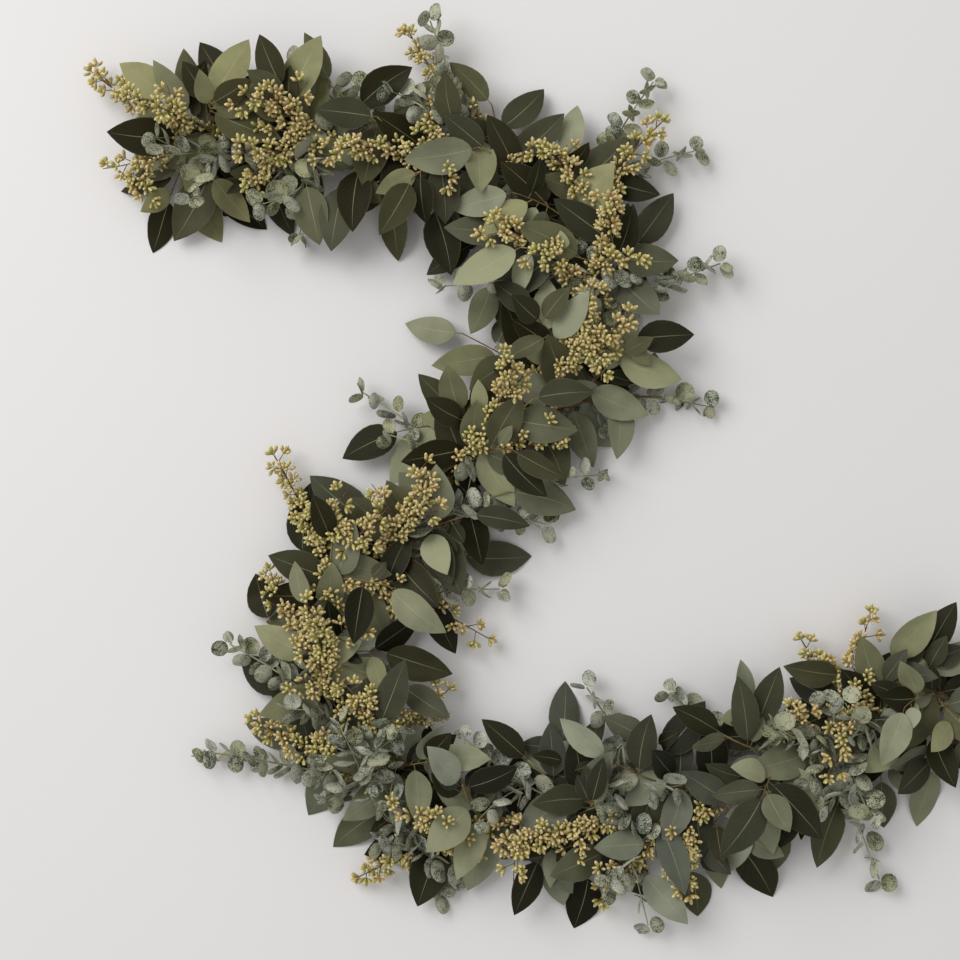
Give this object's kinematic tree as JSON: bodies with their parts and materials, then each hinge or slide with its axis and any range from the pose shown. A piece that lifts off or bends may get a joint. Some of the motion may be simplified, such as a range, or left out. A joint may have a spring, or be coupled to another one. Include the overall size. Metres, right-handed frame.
{
  "type": "eucalyptus garland",
  "caption": "Long eucalyptus garland laid in a Z, with pointed grey-green leaves, ochre bud sprays and round silvery blue leaves tied along a jute cord.",
  "frame": {"origin": "on the surface under the flat low leaf near the middle of the cord", "axes": "+Z away from the surface the garland lies on, +X and +Y along the surface, with +Y towards the row's upper run and +X towards the garland's cut-off end"},
  "size_m": [0.9898, 0.9292, 0.0863],
  "materials": {
    "leaf_green": "matte",
    "bud_ochre": "matte",
    "coin_blue": "matte",
    "jute": "matte",
    "binding_wire": "satin"
  },
  "bodies": {
    "root": {"coin_branch_02": "coin_blue", "coin_branch_03": "coin_blue", "coin_branch_04": "coin_blue", "coin_branch_05": "coin_blue", "coin_branch_06": "coin_blue", "coin_branch_07": "coin_blue", "coin_branch_08": "coin_blue", "coin_branch_09": "coin_blue", "coin_branch_10": "coin_blue", "coin_branch_11": "coin_blue", "coin_branch_12": "coin_blue", "coin_branch_13": "coin_blue", "coin_branch_14": "coin_blue", "coin_branch_15": "coin_blue", "coin_branch_16": "coin_blue", "coin_branch_17": "coin_blue", "coin_branch_18": "coin_blue", "cord": "jute", "leaf_branch_01": "leaf_green", "leaf_branch_02": "leaf_green", "leaf_branch_03": "leaf_green", "leaf_branch_04": "leaf_green", "leaf_branch_05": "leaf_green", "leaf_branch_06": "leaf_green", "leaf_branch_07": "leaf_green", "leaf_branch_08": "leaf_green", "leaf_branch_09": "leaf_green", "leaf_branch_10": "leaf_green", "leaf_branch_11": "leaf_green", "leaf_branch_12": "leaf_green", "leaf_branch_13": "leaf_green", "leaf_branch_14": "leaf_green", "leaf_branch_15": "leaf_green", "leaf_branch_16": "leaf_green", "leaf_branch_17": "leaf_green", "leaf_branch_18": "leaf_green", "leaf_branch_19": "leaf_green", "seed_branch_01": "bud_ochre", "seed_branch_02": "bud_ochre", "seed_branch_03": "bud_ochre", "seed_branch_04": "bud_ochre", "seed_branch_05": "bud_ochre", "seed_branch_06": "bud_ochre", "seed_branch_07": "bud_ochre", "seed_branch_08": "bud_ochre", "seed_branch_09": "bud_ochre", "seed_branch_10": "bud_ochre", "seed_branch_11": "bud_ochre", "seed_branch_12": "bud_ochre", "seed_branch_13": "bud_ochre", "seed_branch_14": "bud_ochre", "seed_branch_15": "bud_ochre", "seed_branch_16": "bud_ochre", "seed_branch_17": "bud_ochre", "seed_branch_19": "bud_ochre", "wire": "binding_wire"}
  },
  "joints": []
}
